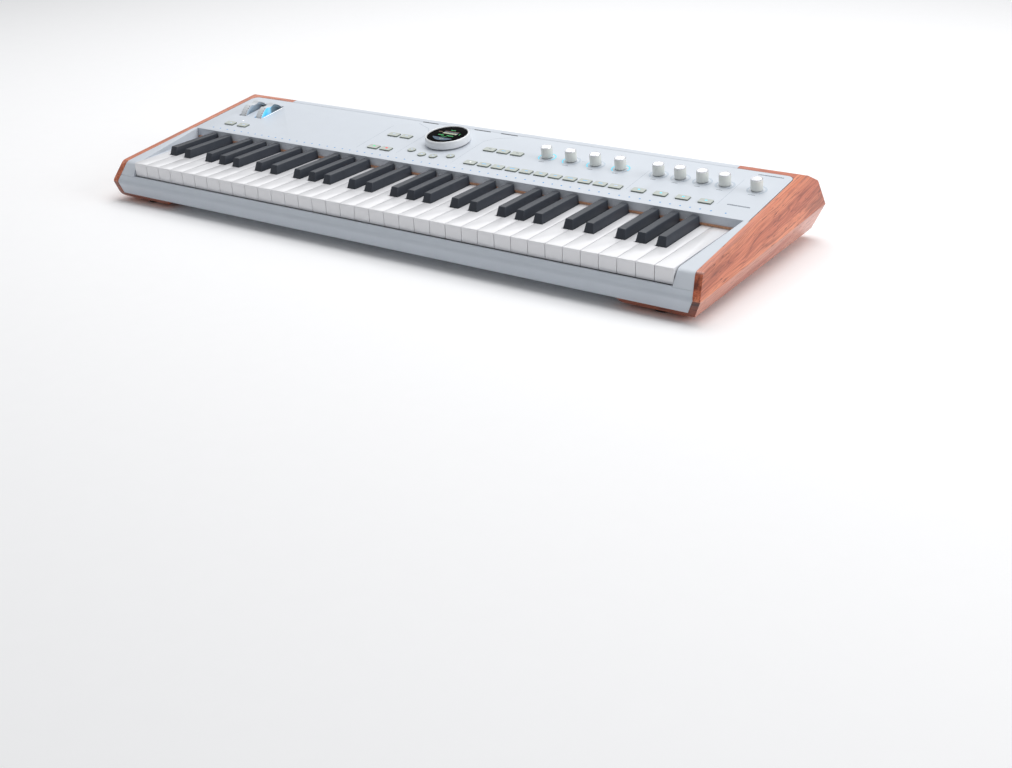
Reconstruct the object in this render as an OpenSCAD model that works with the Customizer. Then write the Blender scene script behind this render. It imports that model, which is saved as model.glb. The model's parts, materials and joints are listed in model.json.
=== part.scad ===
// A stage synthesizer with five octaves of keys and a wrapped wooden end on each side.
// Pieces are drawn from the front edge of the white keys, at the height of their tops, with
// +X to the right, +Y to the rear and +Z up. placed() then moves them onto the origin, which
// is the middle of the footprint on the surface that the feet stand on.

/* [Keyboard] */
// Distance from one white key to the next
white_pitch = 23.5; // [23.3:0.1:28.2]
// Gap between two white keys
key_gap = 0.8; // [0.6:0.1:1.4]
// Length of a white key in front of the control panel
white_len = 139; // [130:1:170]
// Height of a white key's front lip
lip_h = 18.8; // [15:0.1:20]
// Thickness of a white key's top
key_wall = 2.5; // [1.6:0.1:3]
// Length of a black key in front of the control panel
black_len = 86; // [72:1:103]
// Width of a black key at its foot
black_w = 13; // [10.5:0.1:14]
// Width of a black key's top
black_top_w = 10.2; // [8:0.1:10.4]
// Height of a black key above the white ones
black_h = 11.2; // [9:0.1:13.4]
// How far a white key's front goes down
key_dip = 10; // [8:0.5:11]
// Distance from the upright wall back to the rod that the keys turn on
pivot_back = 47; // [40:1:50]
// Depth of the rod's centre below the key tops
pivot_drop = 10; // [9:0.5:12]
// Diameter of the rod that the keys turn on
pivot_d = 4; // [3:0.1:5]

/* [Case] */
// Height of the panel's front edge above the white keys
recess_h = 13.8; // [11.5:0.1:18]
// Rise of the control panel from front to back, in degrees
panel_slope = 6.76; // [5:0.1:8.2]
// Depth of the control panel along its slope
panel_depth = 132.4; // [130:0.1:160]
// Thickness of the control panel
panel_t = 2.5; // [2:0.1:3]
// Wall of the case shells
wall = 3; // [2.4:0.1:3.6]
// Depth of the case floor's underside below the key tops
case_drop = 44; // [42:0.5:54]
// Width of a cheek block's top at the front
cheek_w = 21; // [18:0.5:26]
// Width of a cheek block's top beside the upright wall
land_w = 6.3; // [4:0.1:7]
// How far the front crease stands out in front of the keys
crease_out = 11.3; // [9:0.1:14]
// Depth of the front crease below the key tops
crease_drop = 27; // [24:0.5:32]

/* [Wood ends] */
// Width of a wood end's flat top
wood_t = 9.5; // [8:0.1:12]
// How far the ends bulge out at their rear crease
bulge = 13; // [9:0.5:16]
// Thickness of the wood that wraps under the case
foot_t = 8; // [6:0.5:10]
// Reach of the front foot along the bottom, from the case's side
foot_reach = 81; // [60:1:98]
// Depth of the flat strip behind the panel
rear_strip = 10; // [8:0.5:16]
// Depth of each foot from front to rear
foot_depth = 46; // [34:1:80]
// Reach of the strip along the rear edge, from the case's side
strip_reach = 77; // [50:1:90]
// Height of a rubber foot below the wood
rubber_h = 4; // [3:0.5:6]

/* [Controls] */
// Diameter of a knob
knob_d = 15; // [12.5:0.5:18]
// Height of a knob
knob_h = 15; // [12:0.5:18]
// Outer diameter of the light ring around a knob
ring_d = 24; // [20:0.5:28.8]
// Width of a button
button_w = 17; // [14:0.1:18.4]
// Depth of a button
button_d = 10.3; // [8.5:0.1:12.4]
// Height of a button above the panel
button_h = 1.6; // [1.4:0.1:3]
// Travel of a button
button_travel = 0.8; // [0.4:0.1:1]
// Diameter of a round button
round_d = 11.5; // [9.5:0.1:12.5]
// Diameter of the navigation wheel
nav_d = 62; // [52:0.5:64]
// Height of the navigation wheel above the panel
nav_h = 12.3; // [10:0.1:18.6]
// Diameter of the pitch and modulation wheels
wheel_d = 60; // [56:1:62]
// Width of the pitch and modulation wheels
wheel_w = 11; // [9:0.5:13]
// How far those wheels stand out of the panel
wheel_out = 12.7; // [10:0.1:15]

/* [Sockets] */
// Bore of a large jack socket
jack_bore = 6.4; // [6.35:0.01:6.6]
// Distance from one large jack socket to the next
jack_pitch = 26; // [21:0.5:31]
// Diameter of a MIDI socket's mouth
midi_d = 15; // [13.5:0.5:18]

/* [Clearances] */
// Gap around a button in its opening
button_gap = 0.3; // [0.2:0.05:0.5]
// Radial gap between a shaft and its bore
shaft_gap = 0.08; // [0.05:0.01:0.1]
// Radial gap between a key's hub and the pivot rod
pivot_gap = 0.15; // [0.1:0.01:0.2]
// Gap between a black key and the white keys beside it
black_gap = 1.1; // [0.8:0.1:1.4]
// Gap at each side of a wheel in its slot
wheel_gap = 1.5; // [1:0.1:2]

/* [Hidden] */
$fn = 48;

// Overall places
octaves = 5;
whites = 7 * octaves + 1;
key_half = whites * white_pitch / 2;
key_side_gap = 1;
case_half = key_half + cheek_w + key_side_gap;
pivot_y = white_len + pivot_back;
dip_angle = asin(key_dip / pivot_y);
panel_end = white_len + panel_depth * cos(panel_slope);
rear_out = panel_end + 45;
wood_drop = case_drop + foot_t;
key_top_z = wood_drop + rubber_h;
end_gap = 0.3;
panel_gap = 0.6;
wide = case_half + 40;

// Height of the panel's plane at a distance y behind the key fronts
function panel_z(y) = recess_h + (y - white_len) * tan(panel_slope);

module placed() translate([0, -mid_y, key_top_z]) children();
module on_panel(x, v) {
    translate([x, white_len, recess_h])
        rotate([panel_slope, 0, 0]) translate([0, v, 0]) children();
}
// An outline in the Y-Z plane, drawn out from x0 to x1
module along_x(x0, x1) translate([x0, 0, 0]) rotate([90, 0, 90]) linear_extrude(x1 - x0) children();
// An outline in the X-Z plane, drawn out from y0 to y1
module along_y(y0, y1) translate([0, y1, 0]) rotate([90, 0, 0]) linear_extrude(y1 - y0) children();
module block(x0, x1, y0, y1, z0, z1) translate([x0, y0, z0]) cube([x1 - x0, y1 - y0, z1 - z0]);
module rounded_plate(w, d, r) {
    translate([-w / 2 + r, -d / 2]) square([w - 2 * r, d]);
    translate([-w / 2, -d / 2 + r]) square([w, d - 2 * r]);
    for (sx = [-1, 1], sy = [-1, 1]) translate([sx * (w / 2 - r), sy * (d / 2 - r)]) circle(r, $fn = 24);
}

// Outlines: corners rounded by an arc, and a path given a thickness on its left side
function unit(v) = v / norm(v);
function arc_corner(p, a, b, r, n = 6) =
    let (u = unit(a - p), w = unit(b - p), half = acos(u * w) / 2,
         c = p + unit(u + w) * r / sin(half), s = p + u * r / tan(half) - c,
         e = p + w * r / tan(half) - c)
    [for (k = [0:n]) c + r * unit(s * (n - k) + e * k)];
function rounded(pts, radii) =
    [for (i = [0:len(pts) - 1])
        let (a = pts[(i + len(pts) - 1) % len(pts)], b = pts[(i + 1) % len(pts)])
        each radii[i] > 0 ? arc_corner(pts[i], a, b, radii[i]) : [pts[i]]];
function left_of(a, b) = let (d = unit(b - a)) [-d.y, d.x];
function offset_path(p, t) =
    [for (i = [0:len(p) - 1])
        let (n1 = i > 0 ? left_of(p[i - 1], p[i]) : left_of(p[0], p[1]),
             n2 = i < len(p) - 1 ? left_of(p[i], p[i + 1]) : n1,
             m = unit(n1 + n2))
        p[i] + m * t / (m * n1)];
function thick(p, t) = let (q = offset_path(p, t)) concat(p, [for (i = [len(q) - 1:-1:0]) q[i]]);

// The side outline of the whole body, which the wood ends follow
top_front = [6.5, panel_z(6.5)];
crease_front = [-crease_out, -crease_drop];
low_front = [-crease_out + 4.3, -wood_drop];
low_rear = [rear_out - 11.6, -wood_drop];
crease_rear = [rear_out, -14];
high_rear = [rear_out - 8.6, panel_z(panel_end) - 12.4];
top_rear = [panel_end + rear_strip, panel_z(panel_end + rear_strip)];
top_r = 14;
body_outline = rounded(
    [top_front, crease_front, low_front, low_rear, crease_rear, high_rear, top_rear],
    [9, 9, 12, 9, 5, 7, top_r]);

mid_y = (max([for (p = body_outline) p.x]) + min([for (p = body_outline) p.x])) / 2;

// The ends' faces: two planes that meet in a crease, wide at the rear and narrower in front
end_rise = [0.5, top_rear.x - top_front.x, top_rear.y - top_front.y];
function upper_a(x) = [x, top_front.x, top_front.y];
function upper_b(x) = upper_a(x) + end_rise;
function crease_c(x) = [x + bulge, crease_rear.x, crease_rear.y];
function crease_d(x) = [x + bulge - 6.5, crease_front.x, crease_front.y];
function lower_e(x) = [x - 3, mid_y, -wood_drop];
function below_f(x) = [x - 2.4, crease_front.x, 3 - wood_drop];
function below_g(x) = [x + 0.6, rear_out, 7.3 - wood_drop];
function below_h(x) = [x - 12, mid_y, -wood_drop];
// Everything beyond the plane through three points, on the side of +X
module beyond(a, b, c) {
    n = unit(cross(b - a, c - a)) * sign(cross(b - a, c - a).x);
    translate(a) rotate([0, -asin(n.z), atan2(n.y, n.x)])
        translate([0, -2 * rear_out, -rear_out]) cube([200, 4 * rear_out, 2 * rear_out]);
}
module beyond_end(x) {
    beyond(upper_a(x), upper_b(x), crease_c(x));
    beyond(crease_c(x), crease_d(x), lower_e(x));
}
// The narrow face that leads from the lower face to the bottom
module under_end(x) beyond(below_f(x), below_g(x), below_h(x));

// Where the controls stand: x from the middle, v up the panel's slope from its front edge
low_row = 30.4;
high_row = 76.3;
light_row = 10.5;
nav_at = [-36.5, panel_depth - 52.2];
macro_v = panel_depth - 50.4;
macro_x = [122.5, 159, 195.5, 232];
from_right = case_half - 445;
effect_x = [for (i = [0:3]) from_right + 286 + 30 * i];
volume_at = [from_right + 417.4, panel_depth - 50.4];
category_x = [for (i = [0:10]) 35.5 + 21.85 * i];
browse_x = [for (i = [0:2]) 35.3 + 21.85 * i];
edit_x = [-127.5, -105.7];
octave_x = [-from_right - 400, -from_right - 374.5];
round_at = [for (d = [[-32, -40.5], [-9, -48.8], [10, -48.8], [33, -40.5]]) nav_at + d];
wheel_v = panel_depth - 44.4;
pitch_x = -from_right - 406.7;
mod_x = pitch_x + 31;
rect_buttons = concat(
    [for (x = octave_x) [x, low_row]], [for (x = edit_x) [x, high_row]],
    [for (x = edit_x) [x, low_row]], [for (x = browse_x) [x, high_row]],
    [for (x = category_x) [x, low_row]], [for (x = effect_x) [x, low_row]]);
knobs_at = concat([for (x = macro_x) [x, macro_v]], [for (x = effect_x) [x, macro_v]], [volume_at]);

// Depths below the panel's face
flange_t = 1;
board_t = 1.6;
board_depth = 12;
shaft_r = 3;
nav_stem_r = 9;
nav_lift = 1.5;
axle_r = 3;
axle_depth = wheel_d / 2 - wheel_out;
button_r = 1.2;

// ---- Case ----
module bottom_case() color("lightsteelblue") placed() difference() {
    floor_y = [low_front.x + 3.4, low_rear.x - 4.2];
    tray = [[floor_y[0], -case_drop + 8], [floor_y[0], -case_drop], [floor_y[1], -case_drop],
            [floor_y[1], socket_z - 10.5]];
    side = [[floor_y[0], -case_drop], [floor_y[1], -case_drop], [floor_y[1], -16],
            [high_rear.x - 8, high_rear.y - 4], [panel_end - 4, panel_z(panel_end) - panel_t - 5],
            [white_len + 4, recess_h - panel_t - 1], [white_len + 4, -20.2], [floor_y[0], -23]];
    union() {
        along_x(-case_half + 1, case_half - 1) polygon(thick(tray, wall));
        for (m = [0, 1]) mirror([m, 0, 0]) along_x(case_half - 1 - wall, case_half - 1) polygon(side);
        for (p = frame_screws) translate([p.x, p.y, -case_drop + wall - 1]) cylinder(h = post_h + 1, r = 4);
    }
    for (p = concat(frame_screws, board_posts)) screw_hole(p);
}

module top_panel() color([0.82, 0.86, 0.9]) placed() {
    half = case_half - panel_gap;
    side_r = 10;
    on_panel(0, 0) difference() {
        translate([0, 0, -panel_t]) linear_extrude(panel_t) difference() {
            polygon(rounded([[-half, 0], [half, 0], [half, panel_depth], [-half, panel_depth]],
                            [0, 0, side_r, side_r]));
            for (p = rect_buttons) translate(p)
                rounded_plate(button_w + 2 * button_gap, button_d + 2 * button_gap, button_r);
            for (p = round_at) translate(p) circle(round_d / 2 + button_gap);
            for (p = knobs_at) translate(p) circle(shaft_r + 0.5);
            for (x = light_x) translate([x, light_row]) circle(light_r, $fn = 16);
            translate(nav_at) circle(nav_stem_r + 1);
            for (x = [pitch_x, mod_x]) translate([x, wheel_v])
                rounded_plate(wheel_w + 2 * wheel_gap, slot_len, 2);
        }
        for (p = knobs_at) translate([p.x, p.y, -ring_depth]) difference() {
            cylinder(h = 2, r = ring_d / 2);
            translate([0, 0, -1]) cylinder(h = 4, r = ring_d / 2 - ring_w);
        }
    }
    // The upright wall behind the keys
    along_x(land_w - case_half, case_half - land_w)
        polygon([[white_len + 0.2, 1], [white_len + 2.7, 1],
                 [white_len + 2.7, recess_h - 1.5], [white_len + 0.2, recess_h - 1.5]]);
}
ring_w = 1.2;
ring_depth = 1;
slot_len = 2 * sqrt(pow(wheel_d / 2, 2) - pow(axle_depth, 2)) + 4;

module rear_panel() color([0.8, 0.84, 0.88]) placed() {
    start = [panel_end + panel_gap, panel_z(panel_end + panel_gap)];
    path = concat([start], arc_corner(top_rear, start, high_rear, top_r), [
        [high_rear.x - 1, high_rear.y], [crease_rear.x - 3.5, crease_rear.y + 5],
        [connector_y, -12], [connector_y, -case_drop]]);
    strip_end = case_half - strip_reach;
    difference() {
        along_x(-wide, wide) polygon(thick([for (i = [len(path) - 1:-1:0]) path[i]], wall));
        for (m = [0, 1]) mirror([m, 0, 0]) {
            beyond_end(case_half);
            // Room for the wood strip on the rear edge
            block(strip_end - end_gap, wide, panel_end - 1, rear_out, strip_z - end_gap, 60);
        }
        for (x = jack_x) translate([x, connector_y, socket_z]) socket_hole(jack_bore / 2 + 2.6);
        for (x = midi_x) translate([x, connector_y, socket_z]) socket_hole(midi_d / 2 + 1);
        for (s = data_ports) block(s.x - s[1] / 2 - 0.6, s.x + s[1] / 2 + 0.6, connector_y - 9,
                                   connector_y + 5, socket_z - s[2] / 2 - 0.6, socket_z + s[2] / 2 + 0.6);
        translate([inlet_x, connector_y, socket_z]) socket_hole(inlet_r + 1.9);
        translate([power_x, connector_y, socket_z]) socket_hole(power_r + button_gap);
    }
}
connector_y = low_rear.x;
socket_z = -28;
strip_z = panel_z(panel_end) - foot_t;
module socket_hole(r) rotate([90, 0, 0]) translate([0, 0, -4]) cylinder(h = 12, r = r);

module front_rail() color([0.62, 0.67, 0.72]) placed() {
    path = rounded_path([[-1.2, -lip_h - 0.5], [crease_front.x + 5.9, -lip_h - 0.5], crease_front,
                         [low_front.x - 1.2, -case_drop]]);
    difference() {
        along_x(-wide, wide) polygon(thick(path, wall));
        for (m = [0, 1]) mirror([m, 0, 0]) beyond_end(case_half);
    }
}
// Rounds the crease, the third point of the rail's path
function rounded_path(p) = concat([p[0], p[1]], arc_corner(p[2], p[1], p[3], 9), [p[3]]);

module cheek_block() {
    inner = key_half + key_side_gap;
    foot = -lip_h - 0.3;
    ledge_z = -1;
    land_front = 12;
    outline = concat([[crease_front.x + 5.9, foot]],
                     arc_corner(top_front, [crease_front.x + 5.9, foot], [white_len, recess_h], 9),
                     [[white_len, recess_h], [white_len, foot]]);
    difference() {
        along_x(inner, wide) polygon(outline);
        // The space beside the keys, which widens to the rear and has a ledge for its floor
        translate([0, 0, ledge_z]) linear_extrude(40) polygon([
            [inner - 1, land_front], [inner, land_front], [case_half - land_w, white_len],
            [case_half - land_w, white_len + 1], [inner - 1, white_len + 1]]);
        // Hollow from beneath
        block(inner + wall, case_half - wall, 14, white_len - wall, foot - 1, -9);
        beyond_end(case_half);
    }
}
module right_cheek_block() color([0.78, 0.82, 0.86]) placed() cheek_block();
module left_cheek_block() color([0.78, 0.82, 0.86]) placed() mirror([1, 0, 0]) cheek_block();

corner_t = 5;
module wood_end() {
    difference() {
        along_x(case_half - 8, wide) polygon(body_outline);
        beyond_end(case_half + wood_t);
        under_end(case_half + wood_t);
        // The space for the case, whose end has the same two planes
        difference() {
            block(case_half - 20, wide + 1, -50, rear_out + 50, -case_drop, 80);
            beyond_end(case_half + end_gap);
        }
        block(case_half - 20, case_half - 3, -50, rear_out + 50, -wood_drop - 1, 80);
    }
    // The foot at the front and the one at the rear, with slanted ends
    intersection() {
        along_x(case_half - foot_reach - foot_t - 1, case_half) polygon(body_outline);
        for (y = [[-crease_out, foot_depth - crease_out], [rear_out - foot_depth, rear_out]])
            along_y(y[0], y[1]) polygon([
                [case_half - 2, -wood_drop], [case_half - 2, -case_drop],
                [case_half - foot_reach - foot_t, -case_drop], [case_half - foot_reach, -wood_drop]]);
    }
    // The strip along the rear edge
    intersection() {
        along_x(case_half - strip_reach, case_half + wood_t - 3) polygon(body_outline);
        block(case_half - strip_reach - 1, wide, panel_end + panel_gap, rear_out, strip_z, 60);
    }
    // Fills the corner where the strip meets the end, round the panel's corner
    difference() {
        on_panel(0, 0) translate([case_half - 12, panel_depth - 12, -corner_t]) cube([14, 13, corner_t]);
        on_panel(0, 0) translate([case_half - panel_gap - 10, panel_depth - 10, -20])
            cylinder(h = 40, r = 10 + panel_gap);
        on_panel(0, 0) translate([case_half - 30, panel_depth - 30, -20]) cube([20 - panel_gap, 50, 40]);
        on_panel(0, 0) translate([case_half - 30, panel_depth - 30, -20]) cube([40, 20, 40]);
    }
}
module right_wood_end() color([0.72, 0.4, 0.28]) placed() wood_end();
module left_wood_end() color([0.72, 0.4, 0.28]) placed() mirror([1, 0, 0]) wood_end();

foot_x = case_half - foot_reach / 2;
module rubber_feet() color([0.15, 0.15, 0.16]) placed() {
    for (sx = [-1, 1], y = [foot_depth / 2 - crease_out + 3, rear_out - foot_depth / 2 - 5])
        translate([sx * foot_x, y, -wood_drop - rubber_h]) cylinder(h = rubber_h, r = 11);
}

// Screws come up through the case floor, into the key frame and into the main board's posts
screw_r = 1.4;
post_h = 3;
frame_screws = [for (x = [-300:150:300], y = [60, 140]) [x, y]];
board_posts = [for (x = [-140, 25, 190], y = [pivot_y + 29, connector_y - 37]) [x, y]];
module screw_hole(p) translate([p.x, p.y, -case_drop - 1]) cylinder(h = wall + 8, r = screw_r + shaft_gap);
module screw(p, reach) translate([p.x, p.y, -case_drop]) {
    mirror([0, 0, 1]) cylinder(h = 1.5, r = 3);
    cylinder(h = wall + reach, r = screw_r);
}
module case_screws() color([0.4, 0.4, 0.42]) placed() {
    for (p = frame_screws) screw(p, post_h + frame_plate);
    for (p = board_posts) screw(p, 4);
}

// ---- Keys ----
// Black keys: which white boundary of an octave each stands on, and its shift from it
black_edge = [1, 2, 4, 5, 6];
black_shift = [-2.3, 2.3, -3, 0, 2.6];
function black_x(octave, k) = -key_half + (7 * octave + black_edge[k]) * white_pitch + black_shift[k];
// How far a black key's room reaches into the white key on its left and on its right
function reach_left(k) = black_w / 2 - black_shift[k] + black_gap;
function reach_right(k) = black_w / 2 + black_shift[k] + black_gap;
// Which black key stands at the left and at the right of each white key, -1 for none
black_left = [-1, 0, 1, -1, 2, 3, 4];
black_right = [0, 1, -1, 2, 3, 4, -1];
hub_r = pivot_d / 2 + 2.4;
arm_w = 8;
arm_top = pivot_drop - hub_r;
tail_end = white_len + 9;
black_front = white_len - black_len;

// A white key's side outline: lip, top, and the arm that reaches back to the rod
white_side = [
    [0, -lip_h], each [for (k = [0:5]) [1.4 - 1.4 * cos(k * 18), -1.4 + 1.4 * sin(k * 18)]],
    [tail_end, 0], [tail_end, -arm_top], [pivot_y, -arm_top], [pivot_y, -pivot_drop - hub_r],
    [tail_end - 16, -pivot_drop - hub_r], [tail_end - 30, -10], [key_wall, -10], [key_wall, -lip_h]
];
module pivot_bore(x) translate([x - 20, pivot_y, -pivot_drop])
    rotate([0, 90, 0]) cylinder(h = 40, r = pivot_d / 2 + pivot_gap);
module hub(x) translate([x - arm_w / 2, pivot_y, -pivot_drop]) rotate([0, 90, 0]) cylinder(h = arm_w, r = hub_r);

module white_key(index) {
    x0 = -key_half + index * white_pitch + key_gap / 2;
    x1 = x0 + white_pitch - key_gap;
    last = index == whites - 1;
    bl = black_left[index % 7];
    br = last ? -1 : black_right[index % 7];
    tail0 = bl < 0 ? x0 : x0 - key_gap / 2 + reach_right(bl);
    tail1 = br < 0 ? x1 : x1 + key_gap / 2 - reach_left(br);
    arm_x = last ? x0 + 7 : (tail0 + tail1) / 2;
    notch_y = black_front - black_gap;
    difference() {
        union() {
            along_x(x0, x1) polygon(white_side);
            hub(arm_x);
        }
        if (bl >= 0) block(x0 - 1, tail0, notch_y, pivot_y + 9, -40, 9);
        if (br >= 0) block(tail1, x1 + 1, notch_y, pivot_y + 9, -40, 9);
        block(x0 - 1, arm_x - arm_w / 2, tail_end - 3, pivot_y + 9, -40, 9);
        block(arm_x + arm_w / 2, x1 + 1, tail_end - 3, pivot_y + 9, -40, 9);
        // Hollow from beneath, in front of the notches and between them
        block(x0 + 1.6, x1 - 1.6, key_wall, notch_y - 2, -40, -key_wall);
        block(tail0 + 1.6, tail1 - 1.6, notch_y - 3, tail_end - 34, -40, -key_wall);
        pivot_bore(arm_x);
    }
}

module black_key(octave, k) {
    x = black_x(octave, k);
    skirt = 8;
    slope = 4;
    difference() {
        union() {
            intersection() {
                along_x(x - black_w, x + black_w) polygon([
                    [black_front, -skirt], [black_front, 0], [black_front + slope, black_h],
                    [white_len - 1, black_h], [white_len - 1, -skirt]]);
                along_y(black_front - 5, white_len) polygon([
                    [x - black_w / 2, -skirt], [x - black_w / 2, 0], [x - black_top_w / 2, black_h],
                    [x + black_top_w / 2, black_h], [x + black_w / 2, 0], [x + black_w / 2, -skirt]]);
            }
            block(x - arm_w / 2, x + arm_w / 2, white_len - 20, pivot_y, -pivot_drop - hub_r, -arm_top);
            hub(x);
        }
        block(x - black_w / 2 + 2, x + black_w / 2 - 2, black_front + 4, white_len - 26, -skirt - 1, -1);
        pivot_bore(x);
    }
}
module whites_of(step) color([0.96, 0.96, 0.97]) placed()
    for (i = [step:7:whites - 1]) white_key(i);
module blacks_of(k) color([0.14, 0.16, 0.19]) placed()
    for (o = [0:octaves - 1]) black_key(o, k);

// Every key's hub place, for the springs and contacts
white_hubs = [for (i = [0:whites - 1])
    let (x0 = -key_half + i * white_pitch, bl = black_left[i % 7], br = black_right[i % 7],
         a = bl < 0 ? x0 + key_gap / 2 : x0 + reach_right(bl),
         b = br < 0 ? x0 + white_pitch - key_gap / 2 : x0 + white_pitch - reach_left(br))
    i == whites - 1 ? x0 + key_gap / 2 + 7 : (a + b) / 2];
black_hubs = [for (o = [0:octaves - 1], k = [0:4]) black_x(o, k)];
hubs = concat(white_hubs, black_hubs);
light_r = 1.1;
light_x = concat([for (i = [0:whites - 2]) white_hubs[i]], [key_half - white_pitch / 2], black_hubs);

frame_z = -case_drop + wall + post_h;
frame_plate = 1.5;
module key_frame() color([0.55, 0.57, 0.6]) placed() {
    half = key_half + 8;
    difference() {
        block(-half, half, 8, pivot_y + 14, frame_z, frame_z + frame_plate);
        for (p = frame_screws) screw_hole(p);
    }
    block(-half, half, 8, 8 + frame_plate, frame_z, frame_z + 6);
    for (o = [0:octaves]) {
        x = -key_half + 7 * o * white_pitch;
        difference() {
            block(x - 1.2, x + 1.2, pivot_y - 8, pivot_y + 8, frame_z, -pivot_drop + hub_r);
            translate([x - 5, pivot_y, -pivot_drop]) rotate([0, 90, 0]) cylinder(h = 10, r = pivot_d / 2);
        }
    }
    for (y = [20, pivot_y + 4], x = [-half + 6, 0, half - 6])
        translate([x, y, -case_drop + wall]) cylinder(h = post_h, r = 4);
}
module key_pivot_rail() color([0.75, 0.76, 0.78]) placed()
    translate([-key_half - 4, pivot_y, -pivot_drop]) rotate([0, 90, 0]) cylinder(h = 2 * key_half + 8, r = pivot_d / 2);

// Each return spring is drawn as the tube that its coils fill
module key_springs() color([0.7, 0.7, 0.72]) placed() {
    low = frame_z + frame_plate;
    high = -pivot_drop - hub_r - 1.6;
    for (x = hubs) translate([x, pivot_y - 22, low]) difference() {
        cylinder(h = high - low, r = 2.4, $fn = 24);
        translate([0, 0, -1]) cylinder(h = high - low + 2, r = 1.8, $fn = 24);
    }
}
module key_felt() color([0.8, 0.5, 0.3]) placed() {
    half = case_half - land_w - 2 * end_gap;
    block(-half, half, white_len - 0.8, white_len + 0.2, 0.3, 3);
}

contact_y = [white_len - 6, white_len + 14];
contact_z = frame_z + 6;
module key_contact_board() color([0.1, 0.35, 0.2]) placed() {
    for (m = [-1, 1])
        block(m > 0 ? 2 : -key_half, m > 0 ? key_half : -2, contact_y[0], contact_y[1], contact_z, contact_z + board_t);
    for (x = [-1, 1], u = [0.1, 0.5, 0.9])
        translate([x * (2 + u * (key_half - 2)), white_len + 4, frame_z + frame_plate])
            cylinder(h = contact_z - frame_z - frame_plate, r = 2.5);
}
module key_rubber_contacts() color([0.75, 0.75, 0.75]) placed() {
    top = -pivot_drop - hub_r - 3.4;
    for (x = hubs) translate([x, white_len + 4, contact_z + board_t])
        cylinder(h = top - contact_z - board_t, r1 = 3.2, r2 = 2.2, $fn = 24);
}

// ---- Boards and what they carry ----
module main_board() color([0.1, 0.35, 0.2]) placed() {
    z = -case_drop + wall + 5;
    block(-150, 200, pivot_y + 24, connector_y - 32, z, z + board_t);
    for (p = board_posts) difference() {
        translate([p.x, p.y, -case_drop + wall]) cylinder(h = 5, r = 3);
        translate([p.x, p.y, -case_drop]) cylinder(h = wall + 4.2, r = screw_r + shaft_gap);
    }
    for (x = [-90, -20, 70]) block(x, x + 22, pivot_y + 38, pivot_y + 58, z + board_t, z + board_t + 2);
}

board_left = pitch_x + 58;
board_front = 14;
octave_post = button_w / 2 + 2.2;
module panel_board() color([0.1, 0.35, 0.2]) placed() on_panel(0, 0) {
    translate([0, 0, -board_depth - board_t]) linear_extrude(board_t) difference() {
        translate([board_left, board_front]) square([case_half - 12 - board_left, panel_depth - 8 - board_front]);
        translate(nav_at) circle(nav_stem_r + 1);
    }
    translate([octave_x[0] - octave_post - 1.3, 20, -board_depth - board_t])
        cube([octave_x[1] - octave_x[0] + 2 * octave_post + 2.6, 17, board_t]);
    for (x = [board_left + 6, -84, 8, 110, 269, case_half - 18], v = [board_front + 3, panel_depth - 12])
        translate([x, v, -board_depth]) cylinder(h = board_depth - panel_t, r = 2.5);
    for (x = [octave_x[0] - octave_post, octave_x[1] + octave_post]) translate([x, 34, -board_depth])
        cylinder(h = board_depth - panel_t, r = 0.8);
}
switch_top = -panel_t - 0.2 - flange_t - button_travel - 0.15;
module button_switches() color([0.12, 0.12, 0.13]) placed() {
    for (p = concat(rect_buttons, round_at)) on_panel(p.x, p.y)
        translate([-3, -3, -board_depth]) cube([6, 6, board_depth + switch_top]);
}
module encoders() color([0.6, 0.62, 0.64]) placed() {
    for (p = knobs_at) on_panel(p.x, p.y) difference() {
        translate([-6, -6.5, -board_depth]) cube([12, 13, 7]);
        translate([0, 0, -board_depth + 1]) cylinder(h = 12, r = shaft_r + shaft_gap);
    }
}
module key_lights() color([0.5, 0.8, 1]) placed() on_panel(0, 0) {
    for (x = light_x) translate([x, light_row, -panel_t]) cylinder(h = panel_t + 0.1, r = light_r, $fn = 16);
}
module knob_light_rings() color([0.7, 0.9, 1]) placed() {
    for (p = knobs_at) on_panel(p.x, p.y) translate([0, 0, -ring_depth]) difference() {
        cylinder(h = ring_depth, r = ring_d / 2);
        translate([0, 0, -1]) cylinder(h = 4, r = ring_d / 2 - ring_w);
    }
}

// ---- Wheels at the left ----
module wheel_bracket() color([0.5, 0.52, 0.55]) placed() {
    span = [pitch_x - wheel_w / 2 - 4, mod_x + wheel_w / 2 + 4];
    on_panel(0, wheel_v) {
        for (x = [span[0], span[1] - 2, (pitch_x + mod_x) / 2 - 1])
            translate([x, -9, -axle_depth - 9]) cube([2, 18, axle_depth + 9 - panel_t]);
        translate([span[0], 0, -axle_depth]) rotate([0, 90, 0]) cylinder(h = span[1] - span[0], r = axle_r);
    }
}
groove_r = 16;
groove_in = 4;
module wheel(x) placed() on_panel(x, wheel_v) translate([-wheel_w / 2, 0, -axle_depth]) rotate([0, 90, 0])
    difference() {
        union() {
            cylinder(h = wheel_w, r = wheel_d / 2, $fn = 96);
            translate([0, 0, -1]) cylinder(h = wheel_w + 2, r = 6);
        }
        translate([0, 0, -2]) cylinder(h = wheel_w + 4, r = axle_r + shaft_gap);
        for (z = [-1, wheel_w - 3]) translate([0, 0, z]) difference() {
            cylinder(h = 4, r = wheel_d / 2 - 6);
            translate([0, 0, -1]) cylinder(h = 6, r = 6);
        }
        // The groove that a finger rests in
        translate([groove_in - groove_r - wheel_d / 2, 0, -1]) cylinder(h = wheel_w + 2, r = groove_r);
    }
module pitch_wheel() color([0.85, 0.87, 0.88]) wheel(pitch_x);
module mod_wheel() color([0.6, 0.85, 1]) wheel(mod_x);

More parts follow.
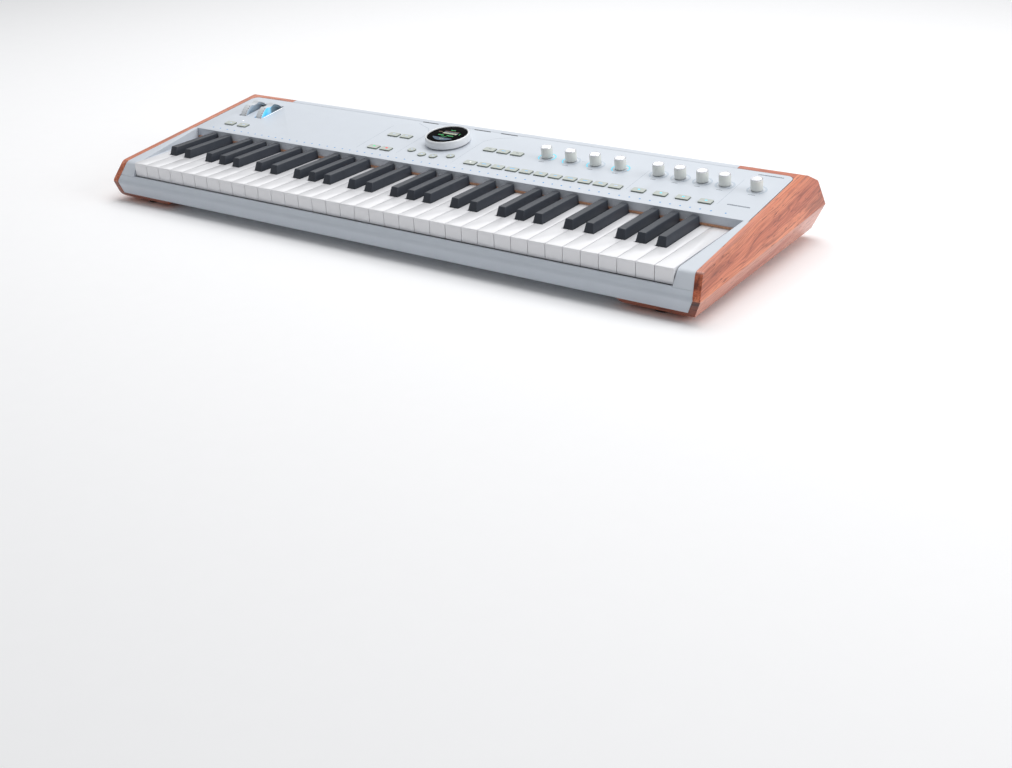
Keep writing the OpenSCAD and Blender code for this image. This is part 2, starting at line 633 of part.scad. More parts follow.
// ---- Navigation wheel ----
nav_wall = 2.6;
ring_gap = 0.35;
module nav_screen() color([0.05, 0.06, 0.07]) placed() on_panel(nav_at.x, nav_at.y) {
    translate([0, 0, 3.2]) cylinder(h = nav_h - 4.2, r = nav_d / 2 - nav_wall - ring_gap);
    translate([0, 0, -board_depth + 3]) cylinder(h = board_depth + 1, r = nav_stem_r);
    translate([0, 0, 0.9]) cylinder(h = 3, r = nav_stem_r + 8);
}
module nav_ring() color([0.85, 0.86, 0.88]) placed() on_panel(nav_at.x, nav_at.y) difference() {
    translate([0, 0, nav_lift]) cylinder(h = nav_h - nav_lift, r = nav_d / 2, $fn = 96);
    cylinder(h = nav_h + 5, r = nav_d / 2 - nav_wall, $fn = 96);
}

// ---- Knobs and buttons ----
module knob(p) color([0.9, 0.91, 0.9]) placed() on_panel(p.x, p.y) {
    translate([0, 0, 0.8]) cylinder(h = knob_h - 0.8, r = knob_d / 2);
    translate([0, 0, -board_depth + 2]) cylinder(h = board_depth, r = shaft_r);
}
module button(p) placed() on_panel(p.x, p.y) {
    translate([0, 0, -panel_t - 0.2]) linear_extrude(panel_t + 0.2 + button_h) rounded_plate(button_w, button_d, button_r);
    translate([-button_w / 2 - 0.9, -button_d / 2 - 0.9, -panel_t - 0.2 - flange_t])
        cube([button_w + 1.8, button_d + 1.8, flange_t]);
}
module buttons(points) color([0.75, 0.79, 0.77]) for (p = points) button(p);
module round_button(p) placed() on_panel(p.x, p.y) {
    translate([0, 0, -panel_t - 0.2]) cylinder(h = panel_t + 0.2 + button_h, r = round_d / 2);
    translate([0, 0, -panel_t - 0.2 - flange_t]) cylinder(h = flange_t, r = round_d / 2 + 1);
}
function in_row(xs, v) = [for (x = xs) [x, v]];

// ---- Sockets on the rear face, and the power button ----
jack_x = [for (i = [0:7]) 70 + jack_pitch * i];
midi_x = [-20, 15];
data_ports = [[-60, 12, 10.9], [-85, 13.2, 5.8]];
inlet_x = -150;
inlet_r = 3.1;
power_x = -180;
power_r = 5.5;
module jack_sockets() color([0.1, 0.1, 0.11]) placed() for (x = jack_x)
    translate([x, connector_y, socket_z]) difference() {
        union() {
            rotate([90, 0, 0]) translate([0, 0, -1.5]) cylinder(h = 6, r = jack_bore / 2 + 2.6);
            translate([-7.5, -27, -8]) cube([15, 23, 16]);
        }
        rotate([90, 0, 0]) translate([0, 0, -3]) cylinder(h = 28, r = jack_bore / 2);
    }
module midi_sockets() color([0.1, 0.1, 0.11]) placed() for (x = midi_x)
    translate([x, connector_y, socket_z]) {
        difference() {
            union() {
                rotate([90, 0, 0]) translate([0, 0, -0.8]) cylinder(h = 5.4, r = midi_d / 2 + 1);
                translate([-10, -20, -9.5]) cube([20, 16, 19]);
            }
            rotate([90, 0, 0]) translate([0, 0, -3]) cylinder(h = 13, r = midi_d / 2);
        }
        for (a = [0, 45, 90, 135, 180]) translate([5 * cos(a), 0, 5 * sin(a)])
            rotate([90, 0, 0]) translate([0, 0, 2.5]) cylinder(h = 8, r = 0.7, $fn = 16);
    }
module data_sockets() color([0.7, 0.71, 0.73]) placed() for (s = data_ports)
    difference() {
        block(s.x - s[1] / 2 - 0.6, s.x + s[1] / 2 + 0.6, connector_y - 16, connector_y + 0.6,
              socket_z - s[2] / 2 - 0.6, socket_z + s[2] / 2 + 0.6);
        block(s.x - s[1] / 2, s.x + s[1] / 2, connector_y - 14, connector_y + 2,
              socket_z - s[2] / 2, socket_z + s[2] / 2);
    }
module power_inlet() color([0.1, 0.1, 0.11]) placed() translate([inlet_x, connector_y, socket_z]) {
    difference() {
        union() {
            rotate([90, 0, 0]) translate([0, 0, -0.8]) cylinder(h = 5.4, r = inlet_r + 1.9);
            translate([-6.5, -17, -6.5]) cube([13, 13, 13]);
        }
        rotate([90, 0, 0]) translate([0, 0, -2]) cylinder(h = 13, r = inlet_r);
    }
}
module power_button() color([0.12, 0.12, 0.13]) placed() translate([power_x, connector_y, socket_z])
    rotate([90, 0, 0]) {
        translate([0, 0, -2.2]) cylinder(h = 2.2 + wall + 0.3, r = power_r);
        translate([0, 0, wall + 0.3]) cylinder(h = 1.5, r = power_r + 1.2);
    }

bottom_case();
top_panel();
rear_panel();
front_rail();
left_cheek_block();
right_cheek_block();
left_wood_end();
right_wood_end();
rubber_feet();
case_screws();
key_frame();
key_pivot_rail();
key_springs();
key_felt();
key_contact_board();
key_rubber_contacts();
whites_of(0);  // keys_c
blacks_of(0);  // keys_c_sharp
whites_of(1);  // keys_d
blacks_of(1);  // keys_d_sharp
whites_of(2);  // keys_e
whites_of(3);  // keys_f
blacks_of(2);  // keys_f_sharp
whites_of(4);  // keys_g
blacks_of(3);  // keys_g_sharp
whites_of(5);  // keys_a
blacks_of(4);  // keys_a_sharp
whites_of(6);  // keys_b
main_board();
panel_board();
button_switches();
encoders();
key_lights();
knob_light_rings();
wheel_bracket();
pitch_wheel();
mod_wheel();
nav_screen();
nav_ring();
knob(knobs_at[0]);  // knob_macro_1
knob(knobs_at[1]);  // knob_macro_2
knob(knobs_at[2]);  // knob_macro_3
knob(knobs_at[3]);  // knob_macro_4
knob(knobs_at[4]);  // knob_effect_1
knob(knobs_at[5]);  // knob_effect_2
knob(knobs_at[6]);  // knob_effect_3
knob(knobs_at[7]);  // knob_effect_4
knob(knobs_at[8]);  // knob_volume
buttons(in_row(octave_x, low_row));  // octave_buttons
buttons(in_row(edit_x, high_row));  // edit_buttons
buttons(in_row(edit_x, low_row));  // transport_buttons
color([0.75, 0.79, 0.77]) for (p = round_at) round_button(p);  // screen_buttons
buttons(in_row(browse_x, high_row));  // browse_buttons
buttons(in_row(category_x, low_row));  // category_buttons
buttons(in_row(effect_x, low_row));  // effect_buttons
power_button();
jack_sockets();
midi_sockets();
data_sockets();
power_inlet();
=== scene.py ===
"""The looks of a stage synthesizer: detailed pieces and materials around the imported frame."""
import json
import math
import random

import bmesh
import bpy
from mathutils import Matrix, Vector

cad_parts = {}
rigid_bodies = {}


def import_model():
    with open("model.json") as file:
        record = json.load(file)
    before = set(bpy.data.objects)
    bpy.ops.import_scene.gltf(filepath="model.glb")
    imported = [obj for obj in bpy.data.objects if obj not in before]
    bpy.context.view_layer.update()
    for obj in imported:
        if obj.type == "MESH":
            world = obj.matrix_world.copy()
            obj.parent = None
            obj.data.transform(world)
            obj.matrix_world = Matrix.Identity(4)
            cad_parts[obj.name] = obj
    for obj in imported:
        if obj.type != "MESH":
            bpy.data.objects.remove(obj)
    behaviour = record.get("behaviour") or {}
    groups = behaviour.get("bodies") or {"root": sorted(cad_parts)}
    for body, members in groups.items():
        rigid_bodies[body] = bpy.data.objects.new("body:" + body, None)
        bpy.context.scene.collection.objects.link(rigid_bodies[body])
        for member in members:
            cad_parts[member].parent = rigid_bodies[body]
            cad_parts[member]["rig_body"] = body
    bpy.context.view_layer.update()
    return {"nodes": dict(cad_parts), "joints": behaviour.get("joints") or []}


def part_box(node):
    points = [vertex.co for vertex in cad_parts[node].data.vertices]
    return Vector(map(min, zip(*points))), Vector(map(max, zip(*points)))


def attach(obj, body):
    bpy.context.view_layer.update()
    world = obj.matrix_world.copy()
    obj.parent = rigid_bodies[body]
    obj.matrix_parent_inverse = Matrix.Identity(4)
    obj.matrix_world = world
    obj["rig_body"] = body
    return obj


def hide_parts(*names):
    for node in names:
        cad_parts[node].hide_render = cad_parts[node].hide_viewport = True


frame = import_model()
MM = 0.001
WELD = 2e-6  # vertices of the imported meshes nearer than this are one, in metres
INK = (0.005 * MM, 0.04 * MM)  # lower and upper face of printing on the panel

# ---- Places taken from the frame ----
JOINTS = {j["name"]: j for j in frame["joints"]}
NORMAL = Vector(JOINTS["nav_turn"]["axis"]).normalized()
SLOPE = math.atan2(-NORMAL.y, NORMAL.z)
UP_PANEL = Vector((0, math.cos(SLOPE), math.sin(SLOPE)))
ON_PLANE = Vector(JOINTS["nav_turn"]["pos_m"])
PANEL_FRONT_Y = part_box("top_panel")[0].y
V0 = (PANEL_FRONT_Y - ON_PLANE.y) / UP_PANEL.y
PANEL_ORIGIN = Vector((0, PANEL_FRONT_Y, ON_PLANE.z + V0 * UP_PANEL.z))
PANEL_DEPTH = (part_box("top_panel")[1].y - PANEL_FRONT_Y) / UP_PANEL.y
KEY_TOP_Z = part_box("keys_c")[1].z
KEY_FRONT_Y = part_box("keys_c")[0].y
HALF_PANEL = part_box("top_panel")[1].x


def on_panel(x, v, h=0.0):
    """A point x along the panel, v up its slope from the front edge, h above it, in metres."""
    return PANEL_ORIGIN + Vector((x, 0, 0)) + UP_PANEL * v + NORMAL * h


def panel_place(point):
    """(x, v) on the panel of a point in the row frame."""
    d = Vector(point) - PANEL_ORIGIN
    return d.x, d.dot(UP_PANEL)


# ---- Materials ----
def linear(r, g, b):
    """A colour given in the usual 0-255 values, made linear."""
    return tuple(((c / 255) / 12.92 if c <= 10 else ((c / 255 + 0.055) / 1.055) ** 2.4)
                 for c in (r, g, b)) + (1,)


def new_material(name):
    mat = bpy.data.materials.new(name)
    mat.use_nodes = True
    tree = mat.node_tree
    shader = tree.nodes["Principled BSDF"]
    coords = tree.nodes.new("ShaderNodeTexCoord")
    return mat, tree, shader, coords.outputs["Object"]


def node(tree, kind, **values):
    n = tree.nodes.new(kind)
    for key, value in values.items():
        if key in n.inputs:
            n.inputs[key].default_value = value
        else:
            setattr(n, key, value)
    return n


def ramp(tree, source, stops):
    n = tree.nodes.new("ShaderNodeValToRGB")
    while len(n.color_ramp.elements) < len(stops):
        n.color_ramp.elements.new(0.5)
    for e, (at, colour) in zip(n.color_ramp.elements, stops):
        e.position = at
        e.color = colour
    tree.links.new(source, n.inputs[0])
    return n.outputs[0]


def shade(colour, k):
    return tuple(min(1.0, c * k) for c in colour[:3]) + (1,)


def finish_material(name, colour, rough, metallic=0.0, vary=0.05, scale=40.0, bump=0.02,
                    bump_scale=2500.0,
                    coat=0.0, rough_vary=0.06, glow=None, strength=0.0, sheen=0.0):
    """Moulded, painted or plated surface: a slight drift of colour and gloss, and a fine bump."""
    mat, tree, shader, place = new_material(name)
    drift = node(tree, "ShaderNodeTexNoise", Scale=scale, Detail=4.0)
    fine = node(tree, "ShaderNodeTexNoise", Scale=bump_scale, Detail=2.0)
    for n in (drift, fine):
        tree.links.new(place, n.inputs["Vector"])
    tree.links.new(ramp(tree, drift.outputs[0],
                        [(0.3, shade(colour, 1 - vary)), (0.7, shade(colour, 1 + vary))]),
                   shader.inputs["Base Color"])
    gloss = node(tree, "ShaderNodeMapRange")
    gloss.inputs["To Min"].default_value = max(0.02, rough - rough_vary)
    gloss.inputs["To Max"].default_value = min(1.0, rough + rough_vary)
    tree.links.new(drift.outputs[0], gloss.inputs["Value"])
    tree.links.new(gloss.outputs[0], shader.inputs["Roughness"])
    lift = node(tree, "ShaderNodeBump", Strength=bump, Distance=0.0002)
    tree.links.new(fine.outputs[0], lift.inputs["Height"])
    tree.links.new(lift.outputs[0], shader.inputs["Normal"])
    shader.inputs["Metallic"].default_value = metallic
    shader.inputs["Coat Weight"].default_value = coat
    shader.inputs["Sheen Weight"].default_value = sheen
    if glow:
        shader.inputs["Emission Color"].default_value = glow
        shader.inputs["Emission Strength"].default_value = strength
    return mat


def wood_material(name, along, tones, lean, wander=0.02, contrast=1.0):
    """Oiled reddish veneer: long growth lines, fine fibres and short dark pores along one axis.

    The grain leans with the panel's slope, wander is how far the growth lines stray, in metres, and
    contrast is how strongly the lines and streaks show.
    """
    mat, tree, shader, place = new_material(name)
    tilt = node(tree, "ShaderNodeMapping")
    tilt.inputs["Rotation"].default_value = (-lean, 0, 0)
    tree.links.new(place, tilt.inputs["Vector"])
    place = tilt.outputs[0]

    def link(source, target):
        tree.links.new(source, target)
        return target

    def noise(per_metre_along, per_metre_across, detail, vector=place, **more):
        """Noise whose cells are long along the grain."""
        stretch = node(tree, "ShaderNodeMapping")
        stretch.inputs["Scale"].default_value = [
            per_metre_along if i == along else per_metre_across for i in range(3)]
        link(vector, stretch.inputs["Vector"])
        n = node(tree, "ShaderNodeTexNoise", Scale=1.0, Detail=detail, **more)
        link(stretch.outputs[0], n.inputs["Vector"])
        return n

    def math_node(operation, a, b):
        n = node(tree, "ShaderNodeMath", operation=operation)
        link(a, n.inputs[0])
        if isinstance(b, (int, float)):
            n.inputs[1].default_value = b
        else:
            link(b, n.inputs[1])
        return n.outputs[0]

    def multiply(colour, by, factor):
        n = node(tree, "ShaderNodeMix", data_type="RGBA", blend_type="MULTIPLY")
        n.inputs["Factor"].default_value = factor
        link(colour, n.inputs[6])
        link(by, n.inputs[7])
        return n.outputs[2]

    # The trunk's slow bends push the growth lines sideways
    bend = noise(6.0, 14.0, 1.5)
    push = node(tree, "ShaderNodeVectorMath", operation="SCALE")
    push.inputs["Scale"].default_value = wander
    link(bend.outputs["Color"], push.inputs[0])
    moved = node(tree, "ShaderNodeVectorMath", operation="ADD")
    link(place, moved.inputs[0])
    link(push.outputs[0], moved.inputs[1])
    bent = moved.outputs[0]
    growth = noise(1.5, 54.0, 2.6, bent, Roughness=0.45)
    lines = math_node("FRACT", math_node("MULTIPLY", growth.outputs[0], 14.0), 0.0)
    tone = ramp(tree, growth.outputs[0],
                [(at, linear(*c)) for at, c in zip((0.32, 0.45, 0.56, 0.68), tones)])
    veins = ramp(tree, lines, [
        (0.0, linear(150, 118, 112)), (0.09, linear(226, 212, 208)), (0.3, (1, 1, 1, 1)),
        (0.86, linear(242, 234, 232)), (1.0, linear(188, 160, 154))])
    streak_at = noise(3.5, 48.0, 3.0, bent, Roughness=0.55)
    streaks = ramp(tree, streak_at.outputs[0], [
        (0.5, (1, 1, 1, 1)), (0.62, linear(212, 190, 184)), (0.7, linear(120, 84, 78)),
        (0.78, linear(84, 58, 54))])
    fibres = noise(30.0, 1100.0, 2.0, bent)
    pores = noise(50.0, 520.0, 2.0, bent)
    colour = multiply(tone, veins, 0.75 * contrast)
    colour = multiply(colour, streaks, 0.9 * contrast)
    colour = multiply(colour,
                      ramp(tree, fibres.outputs[0],
                           [(0.3, linear(205, 190, 186)), (0.55, (1, 1, 1, 1))]), 0.8)
    colour = multiply(colour,
                      ramp(tree, pores.outputs[0],
                           [(0.27, linear(140, 105, 98)), (0.35, (1, 1, 1, 1))]), 0.8)
    link(colour, shader.inputs["Base Color"])
    gloss = node(tree, "ShaderNodeMapRange")
    gloss.inputs["To Min"].default_value = 0.46
    gloss.inputs["To Max"].default_value = 0.32
    link(fibres.outputs[0], gloss.inputs["Value"])
    link(gloss.outputs[0], shader.inputs["Roughness"])
    lift = node(tree, "ShaderNodeBump", Strength=0.18, Distance=0.0003)
    link(fibres.outputs[0], lift.inputs["Height"])
    link(lift.outputs[0], shader.inputs["Normal"])
    shader.inputs["Coat Weight"].default_value = 0.45
    shader.inputs["Coat Roughness"].default_value = 0.24
    return mat


def graded_material(name, centre, radius, stops, glow=0.0):
    """A wheel's side: its colour darkens from front to rear as painted shade of the wheel's slot,
    and it may shine by itself.
    """
    mat, tree, shader, place = new_material(name)
    axes = node(tree, "ShaderNodeSeparateXYZ")
    tree.links.new(place, axes.inputs[0])
    along = node(tree, "ShaderNodeMapRange")
    along.inputs["From Min"].default_value = centre.y - radius
    along.inputs["From Max"].default_value = centre.y + radius
    tree.links.new(axes.outputs["Y"], along.inputs["Value"])
    colour = ramp(tree, along.outputs[0], stops)
    tree.links.new(colour, shader.inputs["Base Color"])
    shader.inputs["Roughness"].default_value = 0.35
    if glow:
        tree.links.new(colour, shader.inputs["Emission Color"])
        shader.inputs["Emission Strength"].default_value = glow
    return mat


def lit(name, r, g, b, strength):
    """A light pipe or screen colour that shines by itself."""
    colour = linear(r, g, b)
    return finish_material(name, shade(colour, 0.3), 0.4, glow=colour, strength=strength)


PITCH_AT = Vector(JOINTS["pitch_wheel_turn"]["pos_m"])
MOD_AT = Vector(JOINTS["mod_wheel_turn"]["pos_m"])
WHEEL_R = (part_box("pitch_wheel")[1].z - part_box("pitch_wheel")[0].z) / 2

WARM = ((206, 112, 78), (224, 132, 94), (234, 146, 106), (214, 120, 84))
# paler, less saturated tones for the lower outer facet: a painted reflection of the white floor
FLOOR_REFLECTION_TONES = ((202, 120, 98), (212, 140, 118), (220, 152, 130), (206, 128, 106))
# SHADED: darker tones for the front of the wooden foot, painted shade
SHADED = ((128, 66, 44), (146, 78, 54), (158, 88, 62), (136, 70, 48))

MATS = {
    "panel": finish_material("satin_panel_paint", linear(207, 213, 221), 0.5, vary=0.012,
                             bump=0.05),
    "rail": finish_material("satin_rail_paint", linear(196, 203, 212), 0.45, vary=0.015, bump=0.05),
    "shell": finish_material("satin_shell_moulding", linear(205, 211, 219), 0.5, vary=0.015,
                             bump=0.05),
    "wood": wood_material("oiled_veneer_lengthwise", 1, WARM, SLOPE),
    "wood_cross": wood_material("oiled_veneer_crosswise", 0, WARM, SLOPE),
    # front of the wooden foot: a darker copy of the veneer, painted shade
    "wood_front_painted_shade": wood_material("oiled_veneer_front_painted_shade", 0, SHADED, SLOPE),
    # top faces of the wooden ends: straighter grain, and paler through lower contrast as a painted
    # highlight
    "wood_top_grain_and_painted_highlight": wood_material("oiled_veneer_top_edge_painted_highlight", 1, WARM, SLOPE, wander=0.003, contrast=0.4),
    # lower outer facet of the wooden ends: paler tones and weaker grain, a painted reflection of
    # the floor
    "wood_low_painted_reflection": wood_material("oiled_veneer_lower_face_painted_reflection", 1, FLOOR_REFLECTION_TONES, SLOPE, contrast=0.5),
    "rubber": finish_material("foot_rubber", linear(34, 34, 36), 0.8, bump=0.3, bump_scale=900),
    "screw": finish_material("blackened_steel", linear(58, 58, 62), 0.4, metallic=0.9),
    "frame_steel": finish_material("zinc_plate", linear(176, 180, 186), 0.38, metallic=0.9,
                                   scale=90, vary=0.08),
    "felt": finish_material("copper_felt", linear(214, 160, 128), 0.95, vary=0.18, scale=900,
                            bump=0.9,
                            bump_scale=3500, sheen=0.5),
    "board": finish_material("solder_mask", linear(18, 84, 50), 0.35, vary=0.1),
    "dark_plastic": finish_material("black_moulding", linear(30, 31, 34), 0.5, bump=0.25,
                                    bump_scale=1800),
    "socket_metal": finish_material("plated_socket", linear(196, 198, 202), 0.25, metallic=0.95),
    "white_key": finish_material("gloss_key_white", linear(238, 238, 241), 0.22, vary=0.006,
                                 bump=0.006, coat=0.3),
    "black_key": finish_material("satin_key_black", linear(52, 57, 66), 0.4, vary=0.05, bump=0.08,
                                 bump_scale=2000),
    "knob": finish_material("knob_moulding", linear(236, 238, 233), 0.5, vary=0.015, bump=0.08,
                            bump_scale=1800),
    "knob_top": finish_material("polished_knob_top", linear(240, 241, 245), 0.26, metallic=0.7,
                                vary=0.01, bump=0.0,
                                rough_vary=0.03),
    "button": finish_material("button_moulding", linear(188, 194, 188), 0.42, vary=0.015,
                              bump=0.05),
    # darker copy of the button moulding for the button sides: painted shade
    "button_painted_shade": finish_material("button_moulding_painted_shade", linear(122, 130, 122), 0.5, vary=0.02,
                                   bump=0.05),
    "wheel": finish_material("wheel_moulding", linear(212, 216, 220), 0.45, vary=0.015, bump=0.05),
    # darker colour for the knurl notches: painted shade in the recesses
    "wheel_notch": finish_material("wheel_notch", linear(120, 108, 106), 0.6, vary=0.05),
    # pitch wheel side: light at the front, darkening to near black at the rear, painted shade of
    # the slot
    "wheel_flank_painted_shade": graded_material("pitch_wheel_flank_painted_shade", PITCH_AT, WHEEL_R, [
        (0.0, linear(196, 208, 218)), (0.5, linear(176, 188, 198)), (0.78, linear(96, 104, 112)),
        (0.92, linear(12, 13, 15))]),
    # mod wheel side: blue backlight glow at the front, then greyer and near black at the rear,
    # painted shade of the slot
    "lit_flank_and_painted_shade": graded_material("mod_wheel_flank_glow_and_painted_shade", MOD_AT, WHEEL_R, [
        (0.0, linear(120, 205, 248)), (0.3, linear(84, 188, 240)), (0.44, linear(134, 196, 226)),
        (0.52, linear(92, 112, 124)), (0.78, linear(60, 72, 82)), (0.92, linear(8, 9, 11))],
                                 glow=0.6),
    "nav_metal": finish_material("satin_ring", linear(240, 242, 245), 0.36, metallic=0.05,
                                 vary=0.01, bump=0.0,
                                 rough_vary=0.03),
    "screen_glass": finish_material("display_glass", linear(2, 2, 3), 0.08, vary=0.1, bump=0.0,
                                    rough_vary=0.01),
    "shadow": finish_material("seam_shadow", linear(44, 48, 54), 0.8),
    "print": finish_material("panel_print", linear(112, 120, 132), 0.6, vary=0.06),
    "fine_print": finish_material("panel_fine_print", linear(168, 177, 188), 0.6, vary=0.05),
    "ring_dim": finish_material("unlit_light_ring", linear(196, 206, 216), 0.35, vary=0.02),
    "ring_edge": finish_material("light_ring_edge", linear(134, 156, 176), 0.5, vary=0.04),
    "cyan": lit("lit_cyan", 70, 214, 242, 1.0),
    "key_led": lit("lit_key_light", 12, 132, 196, 0.8),
    "blue": lit("lit_blue", 66, 176, 240, 0.9),
    "pale": lit("lit_pale_blue", 186, 206, 246, 0.8),
    "white_led": lit("lit_white", 255, 255, 255, 1.0),
    "green_led": lit("lit_green", 40, 222, 142, 0.9),
    "red_led": lit("lit_red", 238, 24, 44, 0.9),
    "tan": lit("screen_tan", 104, 70, 48, 0.8),
    "cream": lit("screen_cream", 170, 176, 150, 0.8),
    "screen_blue": lit("screen_blue", 26, 66, 92, 0.8),
    "screen_green": lit("screen_green", 24, 158, 76, 0.9),
}
GLASS = MATS["screen_glass"].node_tree.nodes["Principled BSDF"]
GLASS.inputs["Specular IOR Level"].default_value = 0.003


# ---- Mesh helpers ----
def new_object(name, mesh, mat, body):
    obj = bpy.data.objects.new(name, mesh)
    bpy.context.scene.collection.objects.link(obj)
    for m in mat if isinstance(mat, (list, tuple)) else [mat]:
        mesh.materials.append(MATS[m])
    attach(obj, body)
    return obj


def smooth_by_angle(bm, degrees=32):
    limit = math.radians(degrees)
    for f in bm.faces:
        f.smooth = True
    for e in bm.edges:
        e.smooth = not (len(e.link_faces) == 2 and e.calc_face_angle(0) > limit)


def bevel_long_edges(bm, width, segments, min_length, sharp=25, keep=None):
    """Rounds the sharp edges that are long enough, so that small holes stay clean."""
    picked = [e for e in bm.edges if len(e.link_faces) == 2
              and e.calc_face_angle(0) > math.radians(sharp)
              and e.calc_length() > min_length and (keep is None or keep(e))]
    if picked:
        bmesh.ops.bevel(bm, geom=picked, offset=width, offset_type="OFFSET", segments=segments,
                        profile=0.5,
                        affect="EDGES", clamp_overlap=True)


def body_of(node_name):
    return frame["nodes"][node_name]["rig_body"]


def refined(node_name, mat, bevels, paint=None, split_x=()):
    """A copy of a CAD node with rounded edges and smooth shading, standing for it.

    Each bevel is its width, its segments, the shortest edge that it rounds, and perhaps a test of
    an edge.
    Faces are split at each split_x, so that both sides can be painted differently.
    """
    bm = bmesh.new()
    bm.from_mesh(frame["nodes"][node_name].data)
    for layer in list(bm.loops.layers.uv):
        bm.loops.layers.uv.remove(layer)
    bmesh.ops.remove_doubles(bm, verts=bm.verts, dist=WELD)
    bmesh.ops.dissolve_limit(bm, angle_limit=math.radians(0.6), verts=bm.verts, edges=bm.edges)
    for width, segments, min_length, *keep in bevels:
        bevel_long_edges(bm, width, segments, min_length, keep=keep[0] if keep else None)
    for x in split_x:
        bmesh.ops.bisect_plane(bm, geom=bm.verts[:] + bm.edges[:] + bm.faces[:], dist=1e-6,
                               plane_co=(x, 0, 0),
                               plane_no=(1, 0, 0))
    bmesh.ops.recalc_face_normals(bm, faces=bm.faces)
    smooth_by_angle(bm)
    if paint:
        for f in bm.faces:
            f.material_index = paint(f)
    mesh = bpy.data.meshes.new(node_name + "_body")
    bm.to_mesh(mesh)
    bm.free()
    piece = new_object(node_name + "_body", mesh, mat, body_of(node_name))
    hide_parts(node_name)
    return piece


def lathe(name, profile, at, axis, mat, body, steps=64, paint=None, sharp=32):
    """Turns (radius, height) points about an axis; a profile that ends where it began is closed."""
    bm = bmesh.new()
    turn = Vector((0, 0, 1)).rotation_difference(axis).to_matrix().to_4x4()
    place = Matrix.Translation(at) @ turn
    rings = []
    closed = profile[0] == profile[-1]
    for r, h in profile[:-1] if closed else profile:
        if r <= 1e-7:
            rings.append([bm.verts.new(place @ Vector((0, 0, h)))])
        else:
            rings.append([bm.verts.new(place @ Vector((r * math.cos(a), r * math.sin(a), h)))
                          for a in (2 * math.pi * k / steps for k in range(steps))])
    if closed:
        rings.append(rings[0])
    for i, (a, b) in enumerate(zip(rings, rings[1:])):
        for k in range(steps):
            j = (k + 1) % steps
            ends = [a[k % len(a)], a[j % len(a)], b[j % len(b)], b[k % len(b)]]
            corners = [v for n, v in enumerate(ends) if v not in ends[:n]]
            face = bm.faces.new(corners)
            if paint:
                face.material_index = paint(i)
    bmesh.ops.recalc_face_normals(bm, faces=bm.faces)
    smooth_by_angle(bm, sharp)
    mesh = bpy.data.meshes.new(name)
    bm.to_mesh(mesh)
    bm.free()
    return new_object(name, mesh, mat, body)


def prism(bm, points, low, high, index=0):
    """Adds a flat outline, given as (x, v) points in metres, between two heights over the panel."""
    base = [bm.verts.new(on_panel(x, v, low)) for x, v in points]
    top = [bm.verts.new(on_panel(x, v, high)) for x, v in points]
    faces = [bm.faces.new(top), bm.faces.new(list(reversed(base)))]
    n = len(points)
    faces += [bm.faces.new((base[i], base[(i + 1) % n], top[(i + 1) % n], top[i]))
              for i in range(n)]
    for f in faces:
        f.material_index = index


def marks(name, shapes, low, high, mat, body, slot=None):
    """One thin piece of many flat outlines on the panel; a shape may name its material's index."""
    bm = bmesh.new()
    for shape in shapes:
        points, index = shape if isinstance(shape, tuple) and isinstance(shape[1], int) else (shape,
                                                                                              0)
        prism(bm, points, low, high, index)
    bmesh.ops.recalc_face_normals(bm, faces=bm.faces)
    mesh = bpy.data.meshes.new(name)
    bm.to_mesh(mesh)
    bm.free()
    return new_object(name, mesh, mat, body)


def rect(x, v, w, d):
    return [(x - w / 2, v - d / 2), (x + w / 2, v - d / 2), (x + w / 2, v + d / 2),
            (x - w / 2, v + d / 2)]


def disc(x, v, r, steps=20):
    return [(x + r * math.cos(2 * math.pi * k / steps), v + r * math.sin(2 * math.pi * k / steps))
            for k in range(steps)]


def arc_band(x, v, r0, r1, start, stop, step=6):
    """Quads along a ring, from start to stop in degrees, as a list of outlines."""
    n = max(1, round(abs(stop - start) / step))
    out = []
    for k in range(n):
        a, b = (math.radians(start + (stop - start) * t / n) for t in (k, k + 1))
        out.append([(x + r0 * math.cos(a), v + r0 * math.sin(a)),
                    (x + r1 * math.cos(a), v + r1 * math.sin(a)),
                    (x + r1 * math.cos(b), v + r1 * math.sin(b)),
                    (x + r0 * math.cos(b), v + r0 * math.sin(b))])
    return out


def line(points, width):
    """A line of even width through (x, v) points, as a list of outlines."""
    out = []
    for (x0, v0), (x1, v1) in zip(points, points[1:]):
        d = Vector((x1 - x0, v1 - v0)).normalized() * width / 2
        out.append([(x0 + d.y, v0 - d.x), (x1 + d.y, v1 - d.x), (x1 - d.y, v1 + d.x),
                    (x0 - d.y, v0 + d.x)])
    return out


# ---- Camera, light and floor ----
def place_camera():
    azimuth, elevation, roll = (math.radians(d) for d in (35.11, 26.16, -2.34))
    look = Vector((-math.sin(azimuth) * math.cos(elevation),
                   math.cos(azimuth) * math.cos(elevation), -math.sin(elevation)))
    right = look.cross(Vector((0, 0, 1))).normalized()
    up = right.cross(look)
    side = right * math.cos(roll) + up * math.sin(roll)
    top = -right * math.sin(roll) + up * math.cos(roll)
    data = bpy.data.cameras.new("camera")
    data.sensor_width = 36
    data.lens = 47.3
    data.clip_end = 50
    cam = bpy.data.objects.new("camera", data)
    bpy.context.scene.collection.objects.link(cam)
    key_front = Vector((0, KEY_FRONT_Y, KEY_TOP_Z))
    from_key_front = Vector((1.0368, -1.1946, 0.524))
    turn = Matrix((side, top, -look)).transposed().to_4x4()
    cam.matrix_world = Matrix.Translation(key_front + from_key_front) @ turn
    bpy.context.scene.camera = cam


def area_light(name, at, target, size, power, colour=(1, 1, 1)):
    data = bpy.data.lights.new(name, "AREA")
    data.shape = "RECTANGLE"
    data.size, data.size_y = size
    data.energy = power
    data.color = colour
    lamp = bpy.data.objects.new(name, data)
    bpy.context.scene.collection.objects.link(lamp)
    lamp.location = at
    lamp.rotation_euler = (Vector(target) - Vector(at)).to_track_quat("-Z", "Y").to_euler()


